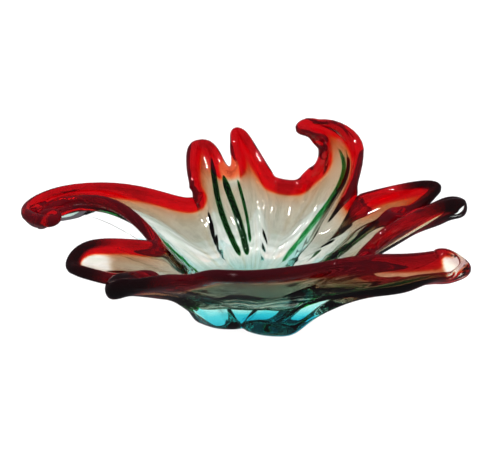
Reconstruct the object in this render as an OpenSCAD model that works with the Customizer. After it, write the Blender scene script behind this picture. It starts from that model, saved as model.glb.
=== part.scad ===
// Hand-formed cased glass centrepiece: a thick flat-footed bowl whose lip is drawn out into
// nine points. Three of them are long arms, and the other six stand in pairs.

/* [Glass] */
// Thickness of the bowl's wall
wall = 5.5; // [4.5:0.1:6.5]
// Thickness of the rounded lip
lip = 11; // [9:0.5:12]
// Distance over which the lip swells out of the wall
lip_reach = 9; // [6:0.5:12]
// Height of the inside floor above the table
floor_height = 27; // [22:0.5:32]

/* [Layers] */
// Share of the thickness that the clear outer casing takes
casing_share = 0.3; // [0.2:0.01:0.4]
// Share of the thickness that a green cane takes at its middle
cane_share = 0.16; // [0.08:0.01:0.2]
// Share of the thickness that the ruby wrap takes at the lip
ruby_share = 0.38; // [0.2:0.01:0.4]
// Distance from the lip at which the ruby wrap has mostly thinned out
ruby_reach = 16; // [8:1:24]
// Share of the thickness that the aqua core takes in the base
aqua_share = 0.3; // [0.2:0.01:0.35]

/* [Hidden] */

// A lobe has an azimuth and a radius at the foot, the clear rib under it [depth, row where it
// starts to end, depth at the tip], the stations at which the flow lines leave its clockwise
// edge and its counter-clockwise edge, and a keel. The keel is a row of stations
// [x, y, z, half width, rise of the edges above the keel, roll], from the foot to the tip.
lobe_right_front = [358, 44, [2, 7.5, 7.5], [.45, .68, .9], [.72, .92], [
    [44, -2, 30, 10, 0, 0], [84, -6, 48, 22, 8, -12], [114, -4, 64, 24, 11, -18],
    [146, 4, 80, 20, 10, -20], [173, 13, 94, 15, 8, -20], [193, 17, 103, 7, 4, -15]]];
lobe_right_back = [385, 42, [3, 9, -3], [.72, .92], [.45, .7, .92], [
    [40, 20, 30, 10, 0, 0], [80, 38, 52, 22, 8, 0], [105, 46, 69, 21, 11, 10],
    [135, 52, 80, 18, 10, 15], [160, 56, 91, 13, 7, 15], [181, 58, 105, 4, 2, 10]]];
arm_back = [416, 46, [3, 9, 0], [.4, .58, .76, .93], [.38, .56, .75, .93], [
    [24, 41, 30, 12, 0, 0], [50, 66, 52, 28, 6, 0], [76, 86, 78, 31, 12, 0],
    [92, 100, 104, 24, 10, 0], [87, 107, 126, 18, 7, 0], [75, 106, 142, 11, 5, 0],
    [49, 97, 149, 6, 2, 0]]];
lobe_back_right = [440, 44, [0, 9, -4], [.5, .75, .93], [.76, .93], [
    [9, 49, 30, 10, 0, 0], [11, 77, 52, 20, 4, 0], [7, 100, 78, 18, 8, 0],
    [-2, 118, 104, 11, 6, 0], [-9, 130, 119, 7, 4, 0], [-14, 139, 133, 3, 1, 0]]];
lobe_back_left = [468, 42, [0, 9, -1], [.76, .93], [.48, .74, .93], [
    [-15, 46, 30, 10, 0, 0], [-31, 71, 52, 18, 6, 0], [-40, 92, 76, 18, 8, 0],
    [-45, 108, 98, 16, 8, 0], [-48, 120, 112, 12, 6, 0], [-51, 128, 122, 6, 3, 0]]];
arm_left = [515, 46, [16, 6, 0], [.28, .45, .62, .78, .92], [.28, .45, .62, .78, .92], [
    [-42, 20, 30, 12, 0, 0], [-80, 38, 55, 24, 10, 0], [-110, 54, 75, 22, 14, 5],
    [-145, 62, 88, 16, 12, 8], [-178, 60, 92, 8, 4, 10], [-203, 50, 81, 8, 4, 6],
    [-211, 36, 83, 8, 4, 0], [-203, 19, 85, 8, 3, 0], [-190, 11, 90, 6, 3, 0],
    [-181, 13, 95, 4, 1, 0]]];
lobe_left_back = [552, 46, [4, 8, -2], [.45, .7, .92], [.6, .8, .94], [
    [-49, -10, 30, 12, 0, 0], [-78, -30, 48, 22, 8, -5], [-103, -45, 64, 27, 10, -12],
    [-126, -56, 73, 27, 9, -15], [-145, -65, 78, 18, 7, -15], [-159, -71, 82, 7, 3, -12]]];
lobe_left_front = [590, 44, [3, 9, 5], [.55, .75, .92], [.4, .6, .78, .94], [
    [-30, -40, 30, 12, 0, 0], [-50, -64, 47, 22, 10, 10], [-70, -87, 63, 24, 13, 14],
    [-88, -103, 74, 22, 12, 10], [-104, -115, 82, 15, 7, 4], [-115, -120, 86, 7, 4, 0]]];
arm_front = [667, 60, [3, 7, 0], [.25, .42, .6, .76, .88, .97], [.4, .6, .78, .92], [
    [35, -46, 30, 12, 0, 0], [58, -60, 47, 26, 12, -28], [84, -74, 59, 27, 17, -33],
    [113, -84, 66, 25, 18, -38], [137, -90, 73, 22, 16, -38], [156, -94, 82, 17, 11, -38],
    [172, -97, 86, 20, 11, -46], [184, -98, 97, 13, 8, -46]]];

// A fold between two lobes has an azimuth and a radius at the foot, half the width of its
// round bottom at the lip, and its points from the foot to the lip.
fold_right = [372, 46, 6, [[49, 11, 30], [88, 20, 54], [114, 26, 74], [134, 28, 88]]];
fold_right_back = [400, 39, 7, [[38, 32, 30], [69, 50, 48], [92, 61, 61], [111, 70, 77]]];
fold_back_right = [429, 41, 12, [[16, 48, 30], [26, 72, 50], [33, 90, 71], [36, 102, 90]]];
fold_back = [452, 47, 6, [[-2, 53, 30], [-9, 80, 58], [-16, 98, 84], [-20, 110, 102]]];
fold_back_left = [486, 39, 9, [[-32, 40, 30], [-48, 60, 48], [-57, 75, 64], [-61, 84, 79]]];
fold_left_back = [538, 38, 7, [[-50, 0, 30], [-68, 0, 46], [-80, 0, 62], [-91, 0, 73]]];
fold_left = [564, 51, 7, [[-47, -24, 30], [-66, -46, 48], [-80, -64, 64], [-88, -80, 77]]];
fold_front = [618, 34, 18, [[-6, -38, 30], [-8, -62, 50], [-11, -86, 72], [-14, -106, 91]]];
fold_right_front = [700, 43, 8, [[47, -17, 30], [72, -22, 46], [92, -26, 60], [108, -28, 70]]];

// Counter-clockwise round the bowl, each lobe is followed by the fold after it.
LOBES = [lobe_right_front, lobe_right_back, arm_back, lobe_back_right, lobe_back_left,
         arm_left, lobe_left_back, lobe_left_front, arm_front];
FOLDS = [fold_right, fold_right_back, fold_back_right, fold_back, fold_back_left,
         fold_left_back, fold_left, fold_front, fold_right_front];

wall_rows = 9;                  // control rows between the foot ring and the lip
foot_start = 30;                // height at which keels and folds start
focus = [0, 0, 300];            // the lobes' hollow sides face this point
foot_spread = 2.5;              // half the angle between a fold's two flow lines at the foot
row_steps = [0, 1, 2, 2.8, 3.8, 5, 6.2, 7.4, 8.6, 9.8, 11];
lip_steps = [45, 90];           // angles round the lip's rounded edge
base_rows = 4;                  // rows above the foot over which the thick base blends out
rib_width = 0.8;                // spread of a clear rib, in flow lines
ruby_first = 5;                 // index in row_steps at which the ruby wrap starts
aqua_last = 5;                  // index in row_steps at which the aqua core ends
cane_first = 2;                 // indices in row_steps between which the canes run
cane_last = 9;

function unit(v) = v / norm(v);
function xy(v) = [v.x, v.y, 0];
function polar(r, a, z) = [r * cos(a), r * sin(a), z];
function ring_radius(foot) = 12 + 0.8 * foot;
function first3(v) = [v[0], v[1], v[2]];
function turned(v, k, a) = v * cos(a) + cross(k, v) * sin(a) + k * (k * v) * (1 - cos(a));
function smooth(x) = let (c = min(max(x, 0), 1)) c * c * (3 - 2 * c);

// Smooth curve through a list of points, at a fraction of its length in stations
function through(p, f) =
    let (n = len(p) - 1, s = min(max(f, 0), 1) * n, i = min(floor(s), n - 1), t = s - i,
         b = p[i], c = p[i + 1],
         a = i > 0 ? p[i - 1] : 2 * b - c, d = i + 2 <= n ? p[i + 2] : 2 * c - b)
    b + 0.5 * t * ((c - a) + t * (2 * a - 5 * b + 4 * c - d + t * (3 * b - a - 3 * c + d)));

// Point on a lobe: a fraction of the way along its keel, and from -1 to 1 across it
function on_lobe(keel, f, across) =
    let (q = through(keel, f), k = first3(q), step = 0.15 / (len(keel) - 1),
         t = unit(first3(through(keel, f + step)) - first3(through(keel, f - step))),
         up = focus - k, n0 = unit(up - t * (up * t)), n = turned(n0, t, q[5]), b = cross(n, t))
    k + across * q[3] * b + across * across * q[4] * n;

// Flow line up a fold, on one side of its middle
function fold_line(fold, side) =
    let (p = fold[3], out = unit(xy(p[3] - p[0])), e = [-out.y, out.x, 0],
         ring = polar(ring_radius(fold[1]), fold[0] + side * foot_spread, foot_start))
    [for (j = [0 : wall_rows]) let (t = j / wall_rows)
        through(p, t) + pow(1 - t, 2) * (ring - p[0]) + side * t * fold[2] * e];

// Flow line that starts at a share of the way from the keel to the fold beside it, and leaves
// the lobe's edge at a fraction of the keel's length
function lobe_line(lobe, fold, side, share, leave) =
    let (keel = lobe[5], line = fold_line(fold, -side),
         turn = fold[0] - lobe[0] - 360 * round((fold[0] - lobe[0]) / 360),
         foot = lobe[1] + share * (fold[1] - lobe[1]),
         ring = polar(ring_radius(foot), lobe[0] + share * turn, foot_start))
    [for (j = [0 : wall_rows])
        let (t = j / wall_rows, k = first3(through(keel, leave * t)), span = line[j] - k,
             inner = k + [share * span.x, share * span.y, pow(share, 1.5) * span.z],
             k0 = first3(keel[0]), span0 = line[0] - k0,
             inner0 = k0 + [share * span0.x, share * span0.y, pow(share, 1.5) * span0.z])
        inner * (1 - smooth(t)) + on_lobe(keel, leave * t, side * pow(t, 1.3)) * smooth(t)
        + pow(1 - t, 2) * (ring - inner0)];

// One lobe's flow lines with the fold after it, as [foot azimuth, foot radius, points]
function lobe_columns(i) =
    let (lobe = LOBES[i], before = FOLDS[(i + len(FOLDS) - 1) % len(FOLDS)], after = FOLDS[i],
         low = lobe[3], high = lobe[4], start = i > 0 ? before[0] : before[0] - 360)
    concat(
        [for (q = [0 : len(low) - 1]) let (share = 1 - (q + 1) / (len(low) + 1))
            [lobe[0] + share * (start - lobe[0]), lobe[1] + share * (before[1] - lobe[1]),
             lobe_line(lobe, before, -1, share, low[q])]],
        [[lobe[0], lobe[1], lobe_line(lobe, after, 0, 0, 1)]],
        [for (q = [len(high) - 1 : -1 : 0]) let (share = 1 - (q + 1) / (len(high) + 1))
            [lobe[0] + share * (after[0] - lobe[0]), lobe[1] + share * (after[1] - lobe[1]),
             lobe_line(lobe, after, 1, share, high[q])]],
        [for (side = [-1, 1])
            [after[0] + side * foot_spread, after[1], fold_line(after, side)]]);

COLUMNS = [for (i = [0 : len(LOBES) - 1]) each lobe_columns(i)];
column_count = len(COLUMNS);
// Index of each lobe's keel, and of the flow line just before the middle of each fold
BEFORE = [for (i = [0 : len(LOBES)])
    i == 0 ? 0 : [for (k = [0 : i - 1]) len(LOBES[k][3]) + len(LOBES[k][4]) + 3]
                 * [for (k = [0 : i - 1]) 1]];
function keel_at(i) = BEFORE[i] + len(LOBES[i][3]);
function fold_at(i) = BEFORE[i + 1] - 2;

// Control net of the middle surface: the floor's centre, a ring half way out, then the wall
NET = [for (c = COLUMNS) concat(
    [[0, 0, floor_height - 1], polar(ring_radius(c[1]) / 2, c[0], floor_height - 1)], c[2])];
net_rows = len(NET[0]);

// Control points moved so that the spline passes close to where they were
function eased(p, i, j, n) =
    j == 0 || j == net_rows - 1 ? p[i][j]
    : p[i][j] - (p[i][j - 1] - 2 * p[i][j] + p[i][j + 1]) / 6;
ROUND = [for (i = [0 : column_count - 1]) [for (j = [0 : net_rows - 1])
    NET[i][j] - (NET[(i + column_count - 1) % column_count][j] - 2 * NET[i][j]
                 + NET[(i + 1) % column_count][j]) / 6]];
CONTROL = [for (i = [0 : column_count - 1]) [for (j = [0 : net_rows - 1])
    eased(ROUND, i, j, net_rows)]];

// Weights of a uniform cubic spline and of its slope
function weights(t) = [pow(1 - t, 3), 3 * pow(t, 3) - 6 * t * t + 4,
                       -3 * pow(t, 3) + 3 * t * t + 3 * t + 1, pow(t, 3)] / 6;
function slopes(t) = [-pow(1 - t, 2), 3 * t * t - 4 * t, -3 * t * t + 2 * t + 1, t * t] / 2;

// Row of a column with one more row past each end
function padded(c, j) = j < 0 ? 2 * c[0] - c[1]
    : j >= net_rows ? 2 * c[net_rows - 1] - c[net_rows - 2] : c[j];
function along(c, v, w) = let (j = min(floor(v), net_rows - 2))
    w * [for (k = [-1 : 2]) padded(c, j + k)];
function row_index(v) = min(floor(v), net_rows - 2);
UP = [for (c = CONTROL) [for (v = row_steps) along(c, v, weights(v - row_index(v)))]];
UP_SLOPE = [for (c = CONTROL) [for (v = row_steps) along(c, v, slopes(v - row_index(v)))]];
function round_bowl(g, u, j, w) =
    w * [for (k = [-1 : 2]) g[(floor(u) + k + column_count) % column_count][j]];

// The canes lie on the keels of two arms, beside the keel of the left arm, and in the folds
// inside the pairs.
arm_canes = [keel_at(2), keel_at(5) + 2, keel_at(8)];
fold_canes = [fold_at(0), fold_at(3), fold_at(6)];
KEELS = [for (i = [0 : len(LOBES) - 1]) keel_at(i)];
cane_half = 0.35;               // extra steps beside a keel, and half an arm cane's width
STEPS = [for (i = [0 : column_count - 1]) each
    len(search(i, concat(KEELS, arm_canes))) > 0 ? [i - cane_half, i, i + cane_half]
    : len(search(i, fold_canes)) > 0 ? [i, i + 0.5] : [i]];
steps = len(STEPS);
rows = len(row_steps);
function step_of(u) = [for (i = [0 : steps - 1]) if (STEPS[i] == u) i][0];

MID = [for (u = STEPS) [for (j = [0 : rows - 1]) round_bowl(UP, u, j, weights(u - floor(u)))]];
ACROSS = [for (u = STEPS) [for (j = [0 : rows - 1])
    round_bowl(UP, u, j, slopes(u - floor(u)))]];
OUTWARD = [for (u = STEPS) [for (j = [0 : rows - 1])
    round_bowl(UP_SLOPE, u, j, weights(u - floor(u)))]];
NORMAL = [for (i = [0 : steps - 1]) [for (j = [0 : rows - 1])
    j == 0 ? [0, 0, 1] : unit(cross(OUTWARD[i][j], ACROSS[i][j]))]];
FEET = [for (u = STEPS) weights(u - floor(u))
    * [for (k = [-1 : 2]) COLUMNS[(floor(u) + k + column_count) % column_count][1]]];
function azimuth(i) = COLUMNS[i % column_count][0] + 360 * floor(i / column_count);
AZIMUTHS = [for (u = STEPS)
    let (i = floor(u), t = u - i) azimuth(i) * (1 - t) + azimuth(i + 1) * t];

LIP = [for (i = [0 : steps - 1]) MID[i][rows - 1]];
function to_segment(p, a, b) = let (d = b - a, f = min(max((p - a) * d / (d * d), 0), 1))
    norm(p - a - f * d);
LIP_GAP = [for (i = [0 : steps - 1]) [for (j = [0 : rows - 1]) j == rows - 1 ? 0
    : min([for (k = [0 : steps - 1]) to_segment(MID[i][j], LIP[k], LIP[(k + 1) % steps])])]];
function half_wall(i, j) = (wall + (lip - wall) * exp(-pow(LIP_GAP[i][j] / lip_reach, 2))) / 2;

// Clear glass drawn along the underside of each lobe. A depth below 0 thins the lobe's tip.
function from_line(u, line) = let (d = abs(u - line)) min(d, column_count - d);
function rib_row(rib, v) =
    smooth((v - 2.5) / 2) * (rib[0] + smooth((v - rib[1]) / 2) * (rib[2] - rib[0]));
RIB = [for (i = [0 : steps - 1]) [for (j = [0 : rows - 1])
    [for (k = [0 : len(LOBES) - 1])
        exp(-pow(from_line(STEPS[i], KEELS[k]) / rib_width, 2))]
    * [for (k = [0 : len(LOBES) - 1]) rib_row(LOBES[k][2], row_steps[j])]]];

// Underside of the thick base, which blends into the wall above it
function under(i, j) =
    let (v = row_steps[j], a = AZIMUTHS[i], foot = polar(FEET[i], a, 0))
    v <= 2 ? foot * v / 2
    : let (rise = MID[i][j] - MID[i][2]) foot + [0.9 * rise.x, 0.9 * rise.y, rise.z];
function lip_out(i) =
    let (a = unit(ACROSS[i][rows - 1]), o = OUTWARD[i][rows - 1]) unit(o - a * (o * a));

// Face at a depth below the middle surface, carried round the lip's rounded edge
function outer_face(i, extra) = concat(
    [for (j = [0 : rows - 1])
        let (g = smooth((row_steps[j] - 2) / base_rows), h = half_wall(i, j) + extra[j])
        g * (MID[i][j] - h * NORMAL[i][j]) + (1 - g) * under(i, j)],
    [for (a = lip_steps) let (h = half_wall(i, rows - 1), e = extra[rows - 1])
        LIP[i] + (h + 0.6 * e) * sin(a) * lip_out(i) - (h + e) * cos(a) * NORMAL[i][rows - 1]]);
SKIN = [for (i = [0 : steps - 1]) outer_face(i, RIB[i])];
OUTER = [for (i = [0 : steps - 1]) outer_face(i, [for (d = RIB[i]) min(d, 0)])];
INNER = [for (i = [0 : steps - 1]) concat(
    [for (j = [0 : rows - 1]) MID[i][j] + half_wall(i, j) * NORMAL[i][j]],
    [for (a = lip_steps) let (h = half_wall(i, rows - 1), e = RIB[i][rows - 1])
        LIP[i] + (h + 0.6 * e) * sin(a) * lip_out(i) + h * cos(a) * NORMAL[i][rows - 1]])];
last = rows + len(lip_steps) - 1;

// Thickness shares of the pieces that lie between the casing and the inner gather
function cane_part(i, j) =
    let (u = STEPS[i], on = len(search(u, concat(arm_canes, [for (c = fold_canes) c + 0.5]))))
    on > 0 && j > cane_first && j < cane_last ? cane_share : 0;
function ruby_part(i, j) =
    j <= ruby_first ? 0
    : let (gap = j < rows ? LIP_GAP[i][j] : 0)
      ruby_share * (0.06 + 0.94 * exp(-pow(gap / ruby_reach, 2)));
function aqua_part(i, j) = j >= aqua_last ? 0 : aqua_share * (1 - pow(j / aqua_last, 3));

function layer(i, j, f) = OUTER[i][j] * (1 - f) + INNER[i][j] * f;
function casing_top(i, j) = casing_share;
function cane_top(i, j) = casing_share + cane_part(i, j);
function wrap_top(i, j) = cane_top(i, j) + ruby_part(i, j) + aqua_part(i, j);
function surface_of(f) = [for (j = [0 : last]) [for (i = [0 : steps - 1]) layer(i, j, f[j][i])]];
function field(f) = [for (j = [0 : last]) [for (i = [0 : steps - 1]) f(i, j)]];
BOTTOM = [for (j = [0 : last]) [for (i = [0 : steps - 1]) SKIN[i][j]]];
CASING_TOP = surface_of(field(function(i, j) casing_top(i, j)));
CANE_TOP = surface_of(field(function(i, j) cane_top(i, j)));
WRAP_TOP = surface_of(field(function(i, j) wrap_top(i, j)));
TOP = surface_of(field(function(i, j) 1));

// Two triangles of one cell, on the upper or the lower side
function cell(a, b, c, d, upper) = upper ? [[a, b, c], [a, c, d]] : [[a, c, b], [a, d, c]];

// Closed ring or dish between two surfaces that meet at the last row. They also meet at the
// first row, unless that row is the floor's centre.
module dish(low, high, first, final) {
    n = steps;
    inside = final - first - 1;
    centre = first == 0;
    head = centre ? 2 : n;
    points = concat(
        centre ? [high[0][0], low[0][0]] : high[first],
        [for (j = [first + 1 : 1 : final - 1]) each high[j]],
        [for (j = [first + 1 : 1 : final - 1]) each low[j]],
        high[final]);
    at = function(i, j, upper)
        j == first ? (centre ? (upper ? 0 : 1) : i % n)
        : j == final ? head + 2 * inside * n + i % n
        : head + (upper ? 0 : inside * n) + (j - first - 1) * n + i % n;
    faces = [for (upper = [true, false]) for (j = [first : final - 1]) for (i = [0 : n - 1])
        each cell(at(i, j, upper), at(i + 1, j, upper), at(i + 1, j + 1, upper),
                  at(i, j + 1, upper), upper)];
    polyhedron(points, [for (f = faces) if (f[0] != f[1] && f[1] != f[2] && f[2] != f[0]) f]);
}

// Closed strip between two surfaces that meet all round its edge
module strip(low, high, left, right, first, final) {
    across = right - left;
    inside = across - 1;
    edge = (final - first + 1) * (across + 1);
    points = concat(
        [for (j = [first : final]) for (i = [left : right]) high[j][i]],
        [for (j = [first + 1 : final - 1]) for (i = [left + 1 : right - 1]) low[j][i]]);
    at = function(i, j, upper)
        upper || i == left || i == right || j == first || j == final
        ? (j - first) * (across + 1) + i - left
        : edge + (j - first - 1) * inside + i - left - 1;
    rim = concat(
        [for (i = [left : right]) each [at(i, first, true), at(i, final, true)]],
        [for (j = [first : final]) each [at(left, j, true), at(right, j, true)]]);
    faces = [for (upper = [true, false]) for (j = [first : final - 1])
        for (i = [left : right - 1])
        each cell(at(i, j, upper), at(i + 1, j, upper), at(i + 1, j + 1, upper),
                  at(i, j + 1, upper), upper)];
    // A triangle with all its corners on the edge has no thickness, so it is left out.
    polyhedron(points, [for (f = faces) if (min([for (k = f) len(search(k, rim))]) == 0) f]);
}

module outer_casing() {
    color([0.82, 0.93, 0.92]) dish(BOTTOM, CASING_TOP, 0, last);
}

module inner_gather() {
    color([0.80, 0.76, 0.66]) dish(WRAP_TOP, TOP, 0, last);
}

module aqua_core() {
    color([0.35, 0.72, 0.76]) dish(CANE_TOP, WRAP_TOP, 0, aqua_last);
}

module ruby_lip() {
    color([0.72, 0.04, 0.05]) dish(CANE_TOP, WRAP_TOP, ruby_first, last);
}

module green_cane(middle) {
    color([0.05, 0.42, 0.20])
        strip(CASING_TOP, CANE_TOP, middle - 1, middle + 1, cane_first, cane_last);
}

module cane_right_pair() { green_cane(step_of(fold_at(0) + 0.5)); }
module cane_back_arm() { green_cane(step_of(keel_at(2))); }
module cane_back_pair() { green_cane(step_of(fold_at(3) + 0.5)); }
module cane_left_arm() { green_cane(step_of(keel_at(5) + 2)); }
module cane_left_pair() { green_cane(step_of(fold_at(6) + 0.5)); }
module cane_front_arm() { green_cane(step_of(keel_at(8))); }

outer_casing();
inner_gather();
aqua_core();
ruby_lip();
cane_right_pair();
cane_back_arm();
cane_back_pair();
cane_left_arm();
cane_left_pair();
cane_front_arm();
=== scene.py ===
"""Art glass bowl: one clear refractive skin with the tinted and coloured glass sealed inside it."""
from math import cos, pi, radians, sin

import bpy
import numpy as np
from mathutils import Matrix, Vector

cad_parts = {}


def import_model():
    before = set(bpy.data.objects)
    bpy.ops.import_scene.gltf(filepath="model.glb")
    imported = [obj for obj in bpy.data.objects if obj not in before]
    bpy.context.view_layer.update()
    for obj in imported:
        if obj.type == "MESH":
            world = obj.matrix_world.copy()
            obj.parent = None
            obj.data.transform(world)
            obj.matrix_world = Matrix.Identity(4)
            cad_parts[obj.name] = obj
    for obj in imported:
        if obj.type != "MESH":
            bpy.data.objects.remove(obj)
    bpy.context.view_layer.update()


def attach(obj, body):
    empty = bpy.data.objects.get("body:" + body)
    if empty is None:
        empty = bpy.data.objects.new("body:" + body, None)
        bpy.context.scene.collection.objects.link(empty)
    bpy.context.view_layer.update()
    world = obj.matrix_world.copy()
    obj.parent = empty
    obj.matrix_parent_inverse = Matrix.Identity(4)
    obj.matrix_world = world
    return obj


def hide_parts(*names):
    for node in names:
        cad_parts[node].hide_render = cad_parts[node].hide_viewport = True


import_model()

MM = 0.001

# ---------------------------------------------------------------- the bowl's form, as in the CAD
# A lobe has an azimuth and a radius at the foot, the clear rib under it (its depth, the row where
# it starts to end, and its depth at the tip), the stations at which the flow lines leave its
# clockwise edge and its counter-clockwise edge, and a keel. The keel is a row of stations
# [x, y, z, half width, rise of the edges above the keel, roll], from the foot to the tip.
LOBES = [
    (358, 44, (2, 7.5, 7.5), [.45, .68, .9], [.72, .92], [
        (44, -2, 30, 10, 0, 0), (84, -6, 48, 22, 8, -12), (114, -4, 64, 24, 11, -18),
        (146, 4, 80, 20, 10, -20), (173, 13, 94, 15, 8, -20), (193, 17, 103, 7, 4, -15)]),
    (385, 42, (3, 9, -3), [.72, .92], [.45, .7, .92], [
        (40, 20, 30, 10, 0, 0), (80, 38, 52, 22, 8, 0), (105, 46, 69, 21, 11, 10),
        (135, 52, 80, 18, 10, 15), (160, 56, 91, 13, 7, 15), (181, 58, 105, 4, 2, 10)]),
    (416, 46, (3, 9, 0), [.4, .58, .76, .93], [.38, .56, .75, .93], [
        (24, 41, 30, 12, 0, 0), (50, 66, 52, 28, 6, 0), (76, 86, 78, 31, 12, 0),
        (92, 100, 104, 24, 10, 0), (87, 107, 126, 18, 7, 0), (75, 106, 142, 11, 5, 0),
        (49, 97, 149, 6, 2, 0)]),
    (440, 44, (0, 9, -4), [.5, .75, .93], [.76, .93], [
        (9, 49, 30, 10, 0, 0), (11, 77, 52, 20, 4, 0), (7, 100, 78, 18, 8, 0),
        (-2, 118, 104, 11, 6, 0), (-9, 130, 119, 7, 4, 0), (-14, 139, 133, 3, 1, 0)]),
    (468, 42, (0, 9, -1), [.76, .93], [.48, .74, .93], [
        (-15, 46, 30, 10, 0, 0), (-31, 71, 52, 18, 6, 0), (-40, 92, 76, 18, 8, 0),
        (-45, 108, 98, 16, 8, 0), (-48, 120, 112, 12, 6, 0), (-51, 128, 122, 6, 3, 0)]),
    (515, 46, (16, 6, 0), [.28, .45, .62, .78, .92], [.28, .45, .62, .78, .92], [
        (-42, 20, 30, 12, 0, 0), (-80, 38, 55, 24, 10, 0), (-110, 54, 75, 22, 14, 5),
        (-145, 62, 88, 16, 12, 8), (-178, 60, 92, 8, 4, 10), (-203, 50, 81, 8, 4, 6),
        (-211, 36, 83, 8, 4, 0), (-203, 19, 85, 8, 3, 0), (-190, 11, 90, 6, 3, 0),
        (-181, 13, 95, 4, 1, 0)]),
    (552, 46, (4, 8, -2), [.45, .7, .92], [.6, .8, .94], [
        (-49, -10, 30, 12, 0, 0), (-78, -30, 48, 22, 8, -5), (-103, -45, 64, 27, 10, -12),
        (-126, -56, 73, 27, 9, -15), (-145, -65, 78, 18, 7, -15), (-159, -71, 82, 7, 3, -12)]),
    (590, 44, (3, 9, 5), [.55, .75, .92], [.4, .6, .78, .94], [
        (-30, -40, 30, 12, 0, 0), (-50, -64, 47, 22, 10, 10), (-70, -87, 63, 24, 13, 14),
        (-88, -103, 74, 22, 12, 10), (-104, -115, 82, 15, 7, 4), (-115, -120, 86, 7, 4, 0)]),
    (667, 60, (3, 7, 0), [.25, .42, .6, .76, .88, .97], [.4, .6, .78, .92], [
        (35, -46, 30, 12, 0, 0), (58, -60, 47, 26, 12, -28), (84, -74, 59, 27, 17, -33),
        (113, -84, 66, 25, 18, -38), (137, -90, 73, 22, 16, -38), (156, -94, 82, 17, 11, -38),
        (172, -97, 86, 20, 11, -46), (184, -98, 97, 13, 8, -46)]),
]
# A fold between two lobes has an azimuth and a radius at the foot, half the width of its round
# bottom at the lip, and its points from the foot to the lip.
FOLDS = [
    (372, 46, 6, [(49, 11, 30), (88, 20, 54), (114, 26, 74), (134, 28, 88)]),
    (400, 39, 7, [(38, 32, 30), (69, 50, 48), (92, 61, 61), (111, 70, 77)]),
    (429, 41, 12, [(16, 48, 30), (26, 72, 50), (33, 90, 71), (36, 102, 90)]),
    (452, 47, 6, [(-2, 53, 30), (-9, 80, 58), (-16, 98, 84), (-20, 110, 102)]),
    (486, 39, 9, [(-32, 40, 30), (-48, 60, 48), (-57, 75, 64), (-61, 84, 79)]),
    (538, 38, 7, [(-50, 0, 30), (-68, 0, 46), (-80, 0, 62), (-91, 0, 73)]),
    (564, 51, 7, [(-47, -24, 30), (-66, -46, 48), (-80, -64, 64), (-88, -80, 77)]),
    (618, 34, 18, [(-6, -38, 30), (-8, -62, 50), (-11, -86, 72), (-14, -106, 91)]),
    (700, 43, 8, [(47, -17, 30), (72, -22, 46), (92, -26, 60), (108, -28, 70)]),
]
WALL, LIP, LIP_REACH = 5.5, 11.0, 9.0
FLOOR_HEIGHT = 27.0
WALL_ROWS = 9
FOOT_START = 30.0
FOCUS = np.array([0.0, 0.0, 300.0])
FOOT_SPREAD = 2.5
BASE_ROWS = 4
RIB_WIDTH = 0.8             # in flow lines
EASING = 16                 # times that the normals are eased across the lines
ARMS = (2, 5, 8)            # lobes that are long arms, each with a cane by its keel
PAIRS = (0, 3, 6)           # folds inside the pairs of points, each with a cane


def unit(v):
    return v / np.linalg.norm(v)


def smooth(x):
    c = np.clip(x, 0, 1)
    return c * c * (3 - 2 * c)


def polar(r, azimuth, z):
    a = radians(azimuth)
    return np.array([r * cos(a), r * sin(a), z])


def ring_radius(foot):
    return 12 + 0.8 * foot


def turned(v, axis, degrees):
    a = radians(degrees)
    return v * cos(a) + np.cross(axis, v) * sin(a) + axis * (axis @ v) * (1 - cos(a))


def through(points, f):
    """Smooth curve through points, at a fraction of its length in stations."""
    p = np.asarray(points, float)
    n = len(p) - 1
    s = min(max(f, 0), 1) * n
    i = min(int(s), n - 1)
    t = s - i
    b, c = p[i], p[i + 1]
    a = p[i - 1] if i > 0 else 2 * b - c
    d = p[i + 2] if i + 2 <= n else 2 * c - b
    bend = 2 * a - 5 * b + 4 * c - d + t * (3 * b - a - 3 * c + d)
    return b + 0.5 * t * ((c - a) + t * bend)


def on_lobe(keel, f, across):
    """Point a fraction of the way along a lobe's keel, and from -1 to 1 across it."""
    q = through(keel, f)
    k = q[:3]
    step = 0.15 / (len(keel) - 1)
    t = unit(through(keel, f + step)[:3] - through(keel, f - step)[:3])
    up = FOCUS - k
    n = turned(unit(up - t * (up @ t)), t, q[5])
    return k + across * q[3] * np.cross(n, t) + across * across * q[4] * n


def fold_line(fold, side):
    """Flow line up a fold, on one side of its middle."""
    azimuth, foot, half, points = fold
    p = np.asarray(points, float)
    out = unit((p[3] - p[0]) * (1, 1, 0))
    e = np.array([-out[1], out[0], 0])
    ring = polar(ring_radius(foot), azimuth + side * FOOT_SPREAD, FOOT_START)
    steps = [j / WALL_ROWS for j in range(WALL_ROWS + 1)]
    return [through(p, t) + (1 - t) ** 2 * (ring - p[0]) + side * t * half * e for t in steps]


def lobe_line(lobe, fold, side, share, leave):
    """Flow line that leaves a lobe's edge at a fraction of the keel's length."""
    azimuth, lobe_foot, _, _, _, keel = lobe
    beside = fold_line(fold, -side)
    turn = fold[0] - azimuth - 360 * round((fold[0] - azimuth) / 360)
    foot = lobe_foot + share * (fold[1] - lobe_foot)
    ring = polar(ring_radius(foot), azimuth + share * turn, FOOT_START)
    shares = np.array([share, share, share ** 1.5])
    start = np.array(keel[0][:3], float)
    start = start + shares * (beside[0] - start)
    line = []
    for j in range(WALL_ROWS + 1):
        t = j / WALL_ROWS
        k = through(keel, leave * t)[:3]
        inner = k + shares * (beside[j] - k)
        edge = on_lobe(keel, leave * t, side * t ** 1.3)
        w = smooth(t)
        line.append(inner * (1 - w) + edge * w + (1 - t) ** 2 * (ring - start))
    return line


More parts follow.
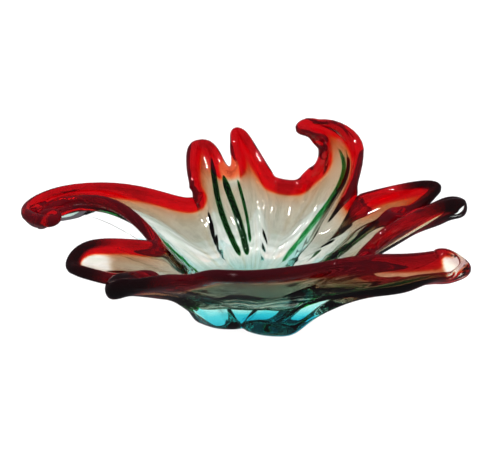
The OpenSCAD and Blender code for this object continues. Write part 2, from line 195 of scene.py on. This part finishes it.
def flow_lines():
    """All flow lines counter-clockwise, as (foot azimuth, foot radius, points)."""
    lines, keels, folds = [], [], []
    for i, lobe in enumerate(LOBES):
        before, after = FOLDS[i - 1], FOLDS[i]
        azimuth, foot, _, low, high, _ = lobe
        start = before[0] if i else before[0] - 360
        for q, leave in enumerate(low):
            share = 1 - (q + 1) / (len(low) + 1)
            lines.append((azimuth + share * (start - azimuth),
                          foot + share * (before[1] - foot),
                          lobe_line(lobe, before, -1, share, leave)))
        keels.append(len(lines))
        lines.append((azimuth, foot, lobe_line(lobe, after, 0, 0, 1)))
        for q in range(len(high) - 1, -1, -1):
            share = 1 - (q + 1) / (len(high) + 1)
            lines.append((azimuth + share * (after[0] - azimuth),
                          foot + share * (after[1] - foot),
                          lobe_line(lobe, after, 1, share, high[q])))
        folds.append(len(lines))
        for side in (-1, 1):
            lines.append((after[0] + side * FOOT_SPREAD, after[1], fold_line(after, side)))
    return lines, keels, folds


def weights(t):
    return np.array([(1 - t) ** 3, 3 * t ** 3 - 6 * t * t + 4,
                     -3 * t ** 3 + 3 * t * t + 3 * t + 1, t ** 3]) / 6


def slopes(t):
    return np.array([-(1 - t) ** 2, 3 * t * t - 4 * t, -3 * t * t + 2 * t + 1, t * t]) / 2


LINES, KEELS, FOLD_AT = flow_lines()
COUNT = len(LINES)


def control_net():
    """Control points of the middle surface, moved so that the spline passes close to them."""
    net = np.array([
        [(0, 0, FLOOR_HEIGHT - 1), polar(ring_radius(foot) / 2, azimuth, FLOOR_HEIGHT - 1)]
        + list(points) for azimuth, foot, points in LINES])
    net = net - (np.roll(net, 1, 0) - 2 * net + np.roll(net, -1, 0)) / 6
    eased = net.copy()
    eased[:, 1:-1] -= (net[:, 2:] - 2 * net[:, 1:-1] + net[:, :-2]) / 6
    return eased


def spline_matrix(steps, size, kind, periodic):
    """Weights that turn control points into points on a uniform cubic spline."""
    m = np.zeros((len(steps), size if periodic else size + 2))
    for row, s in enumerate(steps):
        i = int(np.floor(s)) if periodic else min(int(np.floor(s)), size - 2)
        for k, w in enumerate(kind(s - i)):
            m[row, (i + k - 1) % size if periodic else i + k] += w
    return m


class Form:
    """The bowl on a grid of flow lines and rows, in millimetres.

    Unlike the CAD's, its normals are eased, and its inner face has waves and ridges.
    """

    def __init__(self, per_line=5, base_rows=10, wall_rows=54):
        self.us = np.arange(0, COUNT, 1 / per_line)
        self.vs = np.concatenate([np.linspace(0, 2, base_rows + 1),
                                  np.linspace(2, WALL_ROWS + 2, wall_rows + 1)[1:]])
        net = control_net()
        rows = net.shape[1]
        wide = np.concatenate([2 * net[:, :1] - net[:, 1:2], net,
                               2 * net[:, -1:] - net[:, -2:-1]], 1)
        bu, du = (spline_matrix(self.us, COUNT, k, True) for k in (weights, slopes))
        bv, dv = (spline_matrix(self.vs, rows, k, False) for k in (weights, slopes))
        self.mid = np.einsum("ai,ijk,bj->abk", bu, wide, bv)
        self.across = np.einsum("ai,ijk,bj->abk", du, wide, bv)
        self.outward = np.einsum("ai,ijk,bj->abk", bu, wide, dv)
        normal = np.cross(self.outward, self.across)
        normal[:, 0] = (0, 0, 1)
        self.normal = normal / np.linalg.norm(normal, axis=2, keepdims=True)
        # Ease the turn of the normals across the lines, so that a tight fold stays open.
        for _ in range(EASING):
            sides = np.roll(self.normal, 1, 0) + np.roll(self.normal, -1, 0)
            self.normal = (2 * self.normal + sides) / 4
            self.normal /= np.linalg.norm(self.normal, axis=2, keepdims=True)
        self.azimuth = np.radians(np.interp(
            self.us, range(COUNT + 1), [c[0] for c in LINES] + [LINES[0][0] + 360]))
        self.foot = bu @ np.array([c[1] for c in LINES])
        self.lip = self.mid[:, -1]
        self.gap = np.stack([self.from_lip(self.mid[:, j]) for j in range(len(self.vs))], 1)
        self.half = (WALL + (LIP - WALL) * np.exp(-(self.gap / LIP_REACH) ** 2)) / 2
        self.inner = self.mid + (self.half + self.marks())[..., None] * self.normal
        self.rib = self.ribs()
        self.outer = self.outside()
        tangent = self.across[:, -1] / np.linalg.norm(self.across[:, -1], axis=1, keepdims=True)
        out = self.outward[:, -1]
        out = out - tangent * (out * tangent).sum(1, keepdims=True)
        self.lip_out = out / np.linalg.norm(out, axis=1, keepdims=True)

    def marks(self):
        """Waves left in the floor, and a low ridge over each cane."""
        az = self.azimuth[:, None]
        band = smooth((self.vs - 1) / 1.5) * (1 - smooth((self.vs - 3.6) / 1.6))
        wave = np.sin(7.5 * self.vs[None, :] + 1.3 * np.sin(3 * az + 1) + 0.8 * np.sin(7 * az))
        lines = [KEELS[i] for i in ARMS] + [FOLD_AT[i] + 0.5 for i in PAIRS]
        ridge = sum(self.window(line, 6, 0.9, 4) for line in lines)
        return 0.6 * band * wave + 0.7 * ridge

    def from_lip(self, points):
        """Distance from each point to the line along the middle of the lip."""
        a = self.lip
        run = np.roll(a, -1, 0) - a
        away = points[:, None] - a[None]
        f = np.clip((away * run).sum(2) / (run * run).sum(1), 0, 1)
        return np.sqrt(((away - f[..., None] * run) ** 2).sum(2).min(1))

    def near_lip(self, reach):
        """How much of the lip is within reach: 1 on a long straight lip, more in a narrow point."""
        a = self.lip
        length = np.linalg.norm(np.roll(a, -1, 0) - np.roll(a, 1, 0), axis=1) / 2
        rows = []
        for j in range(len(self.vs)):
            d = ((self.mid[:, j, None] - a[None]) ** 2).sum(2)
            rows.append((np.exp(-d / reach ** 2) * length).sum(1) / (reach * pi ** 0.5))
        return np.stack(rows, 1)

    def window(self, line, row, wide, high):
        """Soft spot, from 1 at its middle to 0, on the grid of flow lines and rows."""
        away = abs((self.us - line + COUNT / 2) % COUNT - COUNT / 2)
        r = (away / wide)[:, None] ** 2 + ((self.vs - row) / high)[None, :] ** 2
        return 1 - smooth((r - 0.35) / 0.65)

    def facing(self, degrees, spread):
        """Soft band, from 1 at an azimuth to 0 away from it, for each flow line."""
        return np.exp(-((self.azimuth / pi * 180 % 360 - degrees) / spread) ** 2)

    def ribs(self):
        """Extra clear glass drawn along the underside of the lobes."""
        depth = np.zeros((len(self.us), len(self.vs)))
        start = smooth((self.vs - 2.5) / 2)
        for lobe, keel in zip(LOBES, KEELS):
            away = abs((self.us - keel + COUNT / 2) % COUNT - COUNT / 2)
            deep, row, tip = lobe[2]
            along = start * (deep + smooth((self.vs - row) / 2) * (tip - deep))
            depth += np.exp(-(away / RIB_WIDTH) ** 2)[:, None] * along
        return depth

    def outside(self):
        """Outer face: the wall's, blended into the underside of the thick base."""
        ring = np.stack([self.foot * np.cos(self.azimuth), self.foot * np.sin(self.azimuth),
                         0 * self.foot], 1)
        start = int(np.argmin(abs(self.vs - 2)))
        under = np.zeros_like(self.mid)
        for j, v in enumerate(self.vs):
            rise = (self.mid[:, j] - self.mid[:, start]) * (0.9, 0.9, 1)
            under[:, j] = ring * v / 2 if v <= 2 else ring + rise
        g = smooth((self.vs - 2) / BASE_ROWS)[None, :, None]
        wall = self.mid - (self.half + self.rib)[..., None] * self.normal
        return g * wall + (1 - g) * under

    def face(self, share, inset=0.0, turns=6, rows=slice(None)):
        """Grid of points at a share of the thickness, carried round the lip's round edge.

        share is 0 on the outer face and 1 on the inner one. inset pulls the lip's edge in.
        """
        share = np.broadcast_to(share, self.gap.shape)[..., None]
        body = self.outer * (1 - share) + self.inner * share
        start = body[:, -1] - self.lip
        reach = (self.half[:, -1] + 0.6 * self.rib[:, -1] - inset)[:, None]
        edge = [self.lip + sin(a) * reach * self.lip_out + cos(a) * start
                for a in (pi / 2 * k / turns for k in range(1, turns + 1))]
        return np.concatenate([body, np.stack(edge, 1)], 1)[:, rows]


# ---------------------------------------------------------------- meshes
def solid(name, low, high, wrap, pole, flow=None, tint=None):
    """Closed mesh between two grids that meet at the last row, and at the first unless pole.

    A grid that doesn't wrap also meets along its first and last columns. flow and tint are
    grids too: where a point is along the flow of the glass, and the colour and the share of
    streaks that its skin adds.
    """
    n, m = low.shape[:2]
    edge = np.zeros((n, m), bool)
    edge[:, -1] = True
    if not pole:
        edge[:, 0] = True
    if not wrap:
        edge[0] = edge[-1] = True
    top = np.arange(n * m).reshape(n, m)
    bottom = np.where(edge, top, top + n * m)
    if pole:
        top = top.copy()
        top[:, 0] = top[0, 0]
        bottom[:, 0] = bottom[0, 0]
    points = np.concatenate([high.reshape(-1, 3), low.reshape(-1, 3)]) * MM
    i = np.arange(n if wrap else n - 1)[:, None]
    j = np.arange(m - 1)[None, :]
    k = (i + 1) % n
    quads = []
    for ids, turn in ((top, 1), (bottom, -1)):
        q = np.stack([ids[i, j], ids[i, j + 1], ids[k, j + 1], ids[k, j]], -1).reshape(-1, 4)
        quads.append(q[:, ::turn])
    quads = np.concatenate(quads)
    used, flat = np.unique(quads, return_inverse=True)
    flat = flat.reshape(-1, 4)
    faces = []
    for q in flat.tolist():
        corners = list(dict.fromkeys(q))
        if len(corners) > 2:
            faces.append(corners)
    mesh = bpy.data.meshes.new(name)
    mesh.from_pydata(points[used].tolist(), [], faces)
    mesh.polygons.foreach_set("use_smooth", [True] * len(mesh.polygons))
    mesh.update()
    if flow is not None:
        both = np.concatenate([flow.reshape(-1, 3)] * 2)[used]
        layer = mesh.attributes.new("flow", "FLOAT_VECTOR", "POINT")
        layer.data.foreach_set("vector", both.ravel())
        both = np.concatenate([tint.reshape(-1, 4)] * 2)[used]
        layer = mesh.attributes.new("tint", "FLOAT_COLOR", "POINT")
        layer.data.foreach_set("color", both.ravel())
    piece = bpy.data.objects.new(name, mesh)
    bpy.context.scene.collection.objects.link(piece)
    return piece


def add(piece, material, slot, *nodes):
    piece.data.materials.append(material)
    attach(piece, "root")
    if nodes:
        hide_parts(*nodes)
    return piece


# ---------------------------------------------------------------- materials
BODY_SHARE = 0.12           # of the light that dense glass scatters in its own colour


def new_material(name):
    material = bpy.data.materials.new(name)
    material.use_nodes = True
    nodes = material.node_tree.nodes
    nodes.clear()
    output = nodes.new("ShaderNodeOutputMaterial")
    return material, nodes, material.node_tree.links, output


def absorb(nodes, links, output, loss):
    """Absorption that takes loss (r, g, b) per metre out of the light."""
    density = max(loss)
    volume = nodes.new("ShaderNodeVolumeAbsorption")
    volume.inputs["Color"].default_value = [1 - x / density for x in loss] + [1]
    volume.inputs["Density"].default_value = density
    links.new(volume.outputs[0], output.inputs["Volume"])


def clear_glass():
    """Fire-polished casing: soft waves from working it hot, and a faint green body colour."""
    material, nodes, links, output = new_material("clear_glass")
    shader = nodes.new("ShaderNodeBsdfPrincipled")
    shader.inputs["Base Color"].default_value = (1, 1, 1, 1)
    shader.inputs["Roughness"].default_value = 0.0
    shader.inputs["IOR"].default_value = 1.5
    shader.inputs["Transmission Weight"].default_value = 1.0
    place = nodes.new("ShaderNodeTexCoord")
    wave = nodes.new("ShaderNodeTexNoise")
    wave.inputs["Scale"].default_value = 28
    wave.inputs["Detail"].default_value = 1.0
    bump = nodes.new("ShaderNodeBump")
    bump.inputs["Strength"].default_value = 0.2
    bump.inputs["Distance"].default_value = 0.0012
    links.new(place.outputs["Object"], wave.inputs["Vector"])
    links.new(wave.outputs["Fac"], bump.inputs["Height"])
    links.new(bump.outputs["Normal"], shader.inputs["Normal"])
    links.new(shader.outputs[0], output.inputs["Surface"])
    absorb(nodes, links, output, (5, 2, 3))
    return material


def coloured_glass(name, loss, size, detail, bands, flowing=True, body=None):
    """Glass sealed in the casing: it bends no light and takes its colour from its depth.

    Its skin has streaks drawn out along the flow of the glass, or clouds if it isn't flowing:
    noise of a size (x, y, z) and a detail, coloured by bands of (noise, red, green, blue).
    Dense glass also has a body colour of its own, as strong as its streaks.
    """
    material, nodes, links, output = new_material(name)
    place = nodes.new("ShaderNodeMapping")
    place.inputs["Scale"].default_value = size
    if flowing:
        source = nodes.new("ShaderNodeAttribute")
        source.attribute_name = "flow"
        links.new(source.outputs["Vector"], place.inputs["Vector"])
    else:
        source = nodes.new("ShaderNodeTexCoord")
        links.new(source.outputs["Object"], place.inputs["Vector"])
    noise = nodes.new("ShaderNodeTexNoise")
    noise.inputs["Scale"].default_value = 1.0
    noise.inputs["Detail"].default_value = detail
    links.new(place.outputs["Vector"], noise.inputs["Vector"])
    ramp = nodes.new("ShaderNodeValToRGB")
    for i, (at, *colour) in enumerate(bands):
        stop = ramp.color_ramp.elements[i] if i < 2 else ramp.color_ramp.elements.new(at)
        stop.position = at
        stop.color = colour + [1]
    links.new(noise.outputs["Fac"], ramp.inputs["Fac"])
    shader = nodes.new("ShaderNodeBsdfTransparent")
    if flowing:
        tint = nodes.new("ShaderNodeAttribute")
        tint.attribute_name = "tint"
        both = nodes.new("ShaderNodeMix")
        both.data_type = "RGBA"
        both.blend_type = "MULTIPLY"
        links.new(tint.outputs["Alpha"], both.inputs["Factor"])
        links.new(tint.outputs["Color"], both.inputs["A"])
        links.new(ramp.outputs["Color"], both.inputs["B"])
        links.new(both.outputs["Result"], shader.inputs["Color"])
    else:
        links.new(ramp.outputs["Color"], shader.inputs["Color"])
    skin = shader
    if body is not None:
        dense = nodes.new("ShaderNodeBsdfDiffuse")
        colour = nodes.new("ShaderNodeMix")
        colour.data_type = "RGBA"
        colour.blend_type = "MULTIPLY"
        colour.inputs["Factor"].default_value = 1.0
        colour.inputs["B"].default_value = body + (1,)
        links.new(both.outputs["Result"], colour.inputs["A"])
        links.new(colour.outputs["Result"], dense.inputs["Color"])
        share = nodes.new("ShaderNodeMath")
        share.operation = "MULTIPLY"
        share.inputs[1].default_value = BODY_SHARE
        links.new(tint.outputs["Alpha"], share.inputs[0])
        skin = nodes.new("ShaderNodeMixShader")
        links.new(share.outputs[0], skin.inputs["Fac"])
        links.new(shader.outputs[0], skin.inputs[1])
        links.new(dense.outputs[0], skin.inputs[2])
    links.new(skin.outputs[0], output.inputs["Surface"])
    absorb(nodes, links, output, loss)
    return material


CLEAR = clear_glass()
STRAW = coloured_glass("straw_glass", (250, 228, 268), (11, 11, 0.25), 2.0,
                       [(.35, .93, .95, .92), (.5, 1, 1, 1), (.68, .97, .94, .88)])
AQUA = coloured_glass("aqua_glass", (50, 9, 5), (4, 4, 0.5), 1.0,
                      [(.35, 1, 1, 1), (.65, .8, .95, .97)])
RUBY = coloured_glass("ruby_glass", (50, 1500, 2500), (9, 9, 0.3), 2.0,
                      [(.36, .82, .7, .78), (.5, 1, 1, 1)],
                      body=(.55, .01, .04))
GREEN = coloured_glass("green_glass", (1300, 330, 800), (60, 60, 20), 2.0,
                       [(.4, .7, .8, .7), (.6, 1, 1, 1)], flowing=False)
DEEP_GREEN = coloured_glass("deep_green_glass", (3000, 900, 1700), (60, 60, 20), 2.0,
                            [(.4, .5, .7, .5), (.6, 1, 1, 1)], flowing=False)

# ---------------------------------------------------------------- pieces
form = Form()
casing = add(solid("clear_casing", form.face(0), form.face(1), True, True),
             CLEAR, "clear_glass", "outer_casing")
casing.visible_shadow = False       # no glass here casts a shadow, so the floor stays plain

thickness = np.linalg.norm(form.inner - form.outer, axis=2)
rows = len(form.vs)


def first_row(v):
    return int(np.argmin(abs(form.vs - v)))


def capped(grid, turns=6):
    """Grid with its last row repeated for the rows round the lip's edge."""
    return np.concatenate([grid] + [grid[:, -1:]] * turns, 1)


turn = 2 * pi * form.us[:, None] / COUNT
flow = capped(np.stack(np.broadcast_arrays(np.cos(turn), np.sin(turn), form.vs[None, :]), -1))


def tinted(amount, colour, streaks):
    """White, going over to a colour by an amount from 0 to 1, with a share of streaks."""
    colours = 1 + np.clip(amount, 0, 1)[..., None] * (np.array(colour) - 1)
    return np.concatenate([colours, np.broadcast_to(streaks, amount.shape)[..., None]], -1)


# Ruby: it fills the lip and thins to a feather edge down the wall, except at its clear windows.
# Each window has a lobe, its middle row, its half width and half height, and its strength.
WINDOWS = [(6, 8.8, 1.5, 1.7, 1), (8, 10.5, 1.6, 1.1, 1), (0, 8, 1.2, 3.5, 1), (7, 8, 1.0, 2.5, .6)]
clear = sum(strength * form.window(KEELS[i], row, wide, high)
            for i, row, wide, high, strength in WINDOWS)
clear = 1 - np.minimum(clear, 1)
near = form.near_lip(17)
ruby_mm = (8.0 * (1 - smooth((form.gap - 3.5) / 8)) + 1.1 * smooth(near - 0.4)
           + 0.5 * form.near_lip(15) + 0.15 * form.near_lip(30))
ruby_mm *= 1 - 0.88 * form.window(FOLD_AT[3] + 0.5, 10.3, 1.8, 2.4)
ruby_start = first_row(5)
ruby_mm = np.minimum(ruby_mm, 0.8 * 2 * form.half) * clear + 0.05
ruby_mm[:, ruby_start] = 0
keep = slice(ruby_start, None)
# Painted shade: the ends of four lobes are painted almost black. Each has a lobe, a half width and
# a half height.
TIP_ROW = 11.3
DARK_ENDS = [(6, 3.0, 1.5), (1, 2.2, 1.1), (0, 2.2, 1.1), (7, 3.2, 2.6)]
painted_end_shade = sum(form.window(KEELS[i], TIP_ROW, wide, high) for i, wide, high in DARK_ENDS)
ruby_tint = tinted(painted_end_shade, (.12, .1, .12), smooth(ruby_mm / 2))
# Painted shade: the edge of the lip is painted a little darker too.
ruby_tint[..., :3] *= tinted(1 - smooth(form.gap / 6), (.88, .8, .84), 0)[..., :3]
# Painted shade: the rims at the front, on the side facing the camera, are painted darker than those
# at the back.
painted_front_shade = form.facing(262, 45)[:, None]
ruby_tint[..., :3] *= tinted(painted_front_shade * smooth(ruby_mm / 2), (.6, .5, .7), 0)[..., :3]
ruby_tint = capped(ruby_tint)
add(solid("ruby_wrap",
          form.face(1 - (form.half + ruby_mm / 2) / thickness, 0.9, rows=keep),
          form.face(1 - (form.half - ruby_mm / 2) / thickness, 0.9, rows=keep),
          True, False, flow[:, keep], ruby_tint[:, keep]),
    RUBY, "ruby_glass", "ruby_lip").visible_shadow = False

# Straw: up to 3 mm of the wall, thin at the floor and fading out towards the lip.
straw_mm = np.minimum(3.0 * smooth((form.vs - 1.5) / 4)[None, :] + 0.2, 0.6 * thickness)
straw_mm *= (0.15 + 0.85 * clear) * (0.1 + 0.9 * smooth((form.gap - 4) / 12))
straw_mm[:, -1] = 0
skin_mm = np.minimum(0.4, 0.1 * thickness)
straw_tint = tinted(0 * near + 1 - smooth((form.vs - 1.5) / 2), (.97, .87, .82), 1)
add(solid("straw_gather", form.face(1 - (skin_mm + straw_mm) / thickness)[:, :rows],
          form.face(1 - skin_mm / thickness)[:, :rows],
          True, True, flow[:, :rows], straw_tint),
    STRAW, "straw_glass", "inner_gather").visible_shadow = False

# Aqua: a lens of colour in the base.
aqua_last = first_row(4)
fade = 1 - (np.arange(rows) / aqua_last) ** 3
pale = form.facing(222, 30)
aqua_share = np.where(np.arange(rows) < aqua_last, 0.55 * fade, 0) * (1 - 0.8 * pale[:, None])
azimuth = form.azimuth[:, None]
patch = smooth((form.vs - 1.2) / 0.8)[None, :] * smooth(
    0.7 + 0.8 * np.sin(5 * azimuth + 2 * np.sin(2 * azimuth)) * np.sin(3 * form.vs + 4 * azimuth))
aqua_tint = tinted(patch, (.9, .98, .99), 0)
add(solid("aqua_heart", form.face(0.12 + 0 * aqua_share)[:, :aqua_last + 1],
          form.face(0.12 + aqua_share)[:, :aqua_last + 1], True, True,
          flow[:, :aqua_last + 1], aqua_tint[:, :aqua_last + 1]),
    AQUA, "aqua_glass", "aqua_core").visible_shadow = False


# Canes: green rods along the keels of the arms and in the folds inside the pairs.
def rod(line, lean, radius, first, final, sides=12, rings=90):
    """Rod in the middle of the wall, tapered to a point at its upper end.

    It follows a flow line, and leans away from it by a number of lines at its upper end.
    """
    vs = np.linspace(first, final, rings)
    row = np.interp(vs, form.vs, np.arange(rows))
    column = (line + np.linspace(0, lean, rings)) * len(form.us) / COUNT % len(form.us)

    def read(grid):
        i, j = column.astype(int), np.minimum(row.astype(int), rows - 2)
        k = (i + 1) % len(form.us)
        s, t = (column - i)[:, None], (row - j)[:, None]
        near = grid[i, j] * (1 - s) + grid[k, j] * s
        far = grid[i, j + 1] * (1 - s) + grid[k, j + 1] * s
        return near * (1 - t) + far * t

    path = (read(form.inner) + read(form.mid - form.half[..., None] * form.normal)) / 2
    up = read(form.normal)
    step = np.gradient(path, axis=0)
    step /= np.linalg.norm(step, axis=1, keepdims=True)
    side = np.cross(up, step)
    side /= np.linalg.norm(side, axis=1, keepdims=True)
    up = np.cross(step, side)
    f = np.linspace(0, 1, rings)
    width = radius * np.clip(np.minimum(f * 18, (1 - f) * 6), 0.02, 1) ** 0.5
    angles = np.linspace(0, 2 * pi, sides, endpoint=False)
    tube = [path + width[:, None] * (cos(a) * side + 0.6 * sin(a) * up) for a in angles]
    points = np.stack(tube, 1).reshape(-1, 3) * MM
    faces = []
    for r in range(rings - 1):
        for q in range(sides):
            a, b = r * sides + q, r * sides + (q + 1) % sides
            faces.append((a, b, b + sides, a + sides))
    faces.append(tuple(range(sides - 1, -1, -1)))
    faces.append(tuple(range((rings - 1) * sides, rings * sides)))
    return points.tolist(), faces


def cane(name, strands):
    points, faces = [], []
    for strand in strands:
        p, f = rod(*strand)
        faces += [tuple(len(points) + c for c in face) for face in f]
        points += p
    mesh = bpy.data.meshes.new(name)
    mesh.from_pydata(points, [], faces)
    mesh.polygons.foreach_set("use_smooth", [True] * len(mesh.polygons))
    piece = bpy.data.objects.new(name, mesh)
    bpy.context.scene.collection.objects.link(piece)
    return piece


# Each strand has a flow line, its lean, a radius, and its first and last rows.
RIGHT, BACK, LEFT = (FOLD_AT[i] + 0.5 for i in PAIRS)
KEEL_D, KEEL_A, KEEL_G = (KEELS[i] for i in ARMS)
CANES = [
    ("green_rod_right_pair", "cane_right_pair",
     [(RIGHT, 0, 2.4, 2.6, 8.4), (RIGHT + 1.1, 0, 1.2, 3.4, 8.9)]),
    ("green_rod_back_arm", "cane_back_arm",
     [(KEEL_D - 1.0, 1.0, 2.9, 2.2, 8.0), (KEEL_D - 1.7, 0.9, 1.2, 2.4, 8.2)]),
    ("green_rod_back_pair", "cane_back_pair",
     [(BACK, .8, 3.3, 2.4, 9.8), (BACK + 1.9, .6, 3.0, 2.4, 9.4),
      (BACK - 1.2, .6, 1.8, 3.4, 9.2)]),
    ("green_rod_left_arm", "cane_left_arm",
     [(KEEL_A + 3.4, -.6, 2.4, 2.2, 8.4), (KEEL_A + 2.7, -.6, 0.9, 2.6, 8.0)]),
    ("green_rod_left_pair", "cane_left_pair", [(LEFT, 0, 2.2, 2.6, 8.4)]),
    ("green_rod_front_arm", "cane_front_arm",
     [(KEEL_G, 0, 2.6, 2.4, 8.8), (KEEL_G + .8, 0, 1.2, 3.0, 8.0)]),
]
for name, node, strands in CANES:
    glass = DEEP_GREEN if node == "cane_back_pair" else GREEN
    add(cane(name, strands), glass, "green_glass", node).visible_shadow = False

# ---------------------------------------------------------------- stage, lights and camera
CAMERA_DISTANCE = 1.3
CAMERA_ELEVATION = radians(24.5)
CAMERA_AIM = (0, 0, 0.086)
CAMERA_LENS = 100.6


def floor():
    mesh = bpy.data.meshes.new("floor")
    r = 6
    mesh.from_pydata([(-r, -r, 0), (r, -r, 0), (r, r, 0), (-r, r, 0)], [], [(0, 1, 2, 3)])
    piece = bpy.data.objects.new("floor", mesh)
    piece.location.z = -0.0005
    bpy.context.scene.collection.objects.link(piece)
    material, nodes, links, output = new_material("floor_paper")
    shader = nodes.new("ShaderNodeBsdfPrincipled")
    shader.inputs["Base Color"].default_value = (0.92, 0.92, 0.92, 1)
    shader.inputs["Roughness"].default_value = 0.9
    shader.inputs["Specular IOR Level"].default_value = 0.0
    links.new(shader.outputs[0], output.inputs["Surface"])
    mesh.materials.append(material)
    piece.visible_glossy = False        # the glass mirrors the dim room and not the bright table


def backdrop():
    """Pale paper standing all round the table, which lights the glass from low down."""
    mesh = bpy.data.meshes.new("backdrop")
    n, r, top = 64, 5, 4
    ring = [(r * cos(2 * pi * i / n), r * sin(2 * pi * i / n)) for i in range(n)]
    mesh.from_pydata([(x, y, z) for z in (0, top) for x, y in ring], [],
                     [(i, (i + 1) % n, n + (i + 1) % n, n + i) for i in range(n)])
    piece = bpy.data.objects.new("backdrop", mesh)
    bpy.context.scene.collection.objects.link(piece)
    material, nodes, links, output = new_material("backdrop_paper")
    shader = nodes.new("ShaderNodeEmission")
    shader.inputs["Color"].default_value = (1, 1, 1, 1)
    shader.inputs["Strength"].default_value = 1.3
    links.new(shader.outputs[0], output.inputs["Surface"])
    mesh.materials.append(material)
    piece.visible_glossy = False


def world():
    w = bpy.data.worlds.new("studio")
    bpy.context.scene.world = w
    w.use_nodes = True
    background = w.node_tree.nodes["Background"]
    background.inputs["Color"].default_value = (1, 0.9, 1, 1)
    background.inputs["Strength"].default_value = 0.12


def light(name, location, size, power, seen):
    """Square soft light. One that isn't seen lights the floor and leaves no glint on the glass."""
    lamp = bpy.data.lights.new(name, "AREA")
    lamp.size = size
    lamp.energy = power
    thing = bpy.data.objects.new(name, lamp)
    thing.location = location
    aim(thing, (0, 0, 0.06))
    thing.visible_glossy = thing.visible_transmission = seen
    bpy.context.scene.collection.objects.link(thing)


def aim(thing, target):
    direction = Vector(target) - Vector(thing.location)
    thing.rotation_euler = direction.to_track_quat("-Z", "Y").to_euler()


def camera():
    data = bpy.data.cameras.new("camera")
    data.lens = CAMERA_LENS
    data.clip_start = 0.05
    thing = bpy.data.objects.new("camera", data)
    thing.location = (0, -CAMERA_DISTANCE * cos(CAMERA_ELEVATION),
                      CAMERA_AIM[2] + CAMERA_DISTANCE * sin(CAMERA_ELEVATION))
    aim(thing, CAMERA_AIM)
    bpy.context.scene.collection.objects.link(thing)
    bpy.context.scene.camera = thing


floor()
backdrop()
world()
light("key", (-0.25, -2.2, 3.6), 0.4, 55, True)
light("left", (-2.2, 1.0, 3.4), 0.8, 36, False)
light("right", (2.2, 0.8, 3.4), 0.8, 36, False)
light("back", (0.0, 2.4, 3.0), 0.8, 36, False)
camera()
scene = bpy.context.scene
scene.view_settings.view_transform = "Standard"
scene.cycles.caustics_refractive = False
scene.cycles.caustics_reflective = False
scene.cycles.max_bounces = 32
scene.cycles.transmission_bounces = 28
scene.cycles.transparent_max_bounces = 64
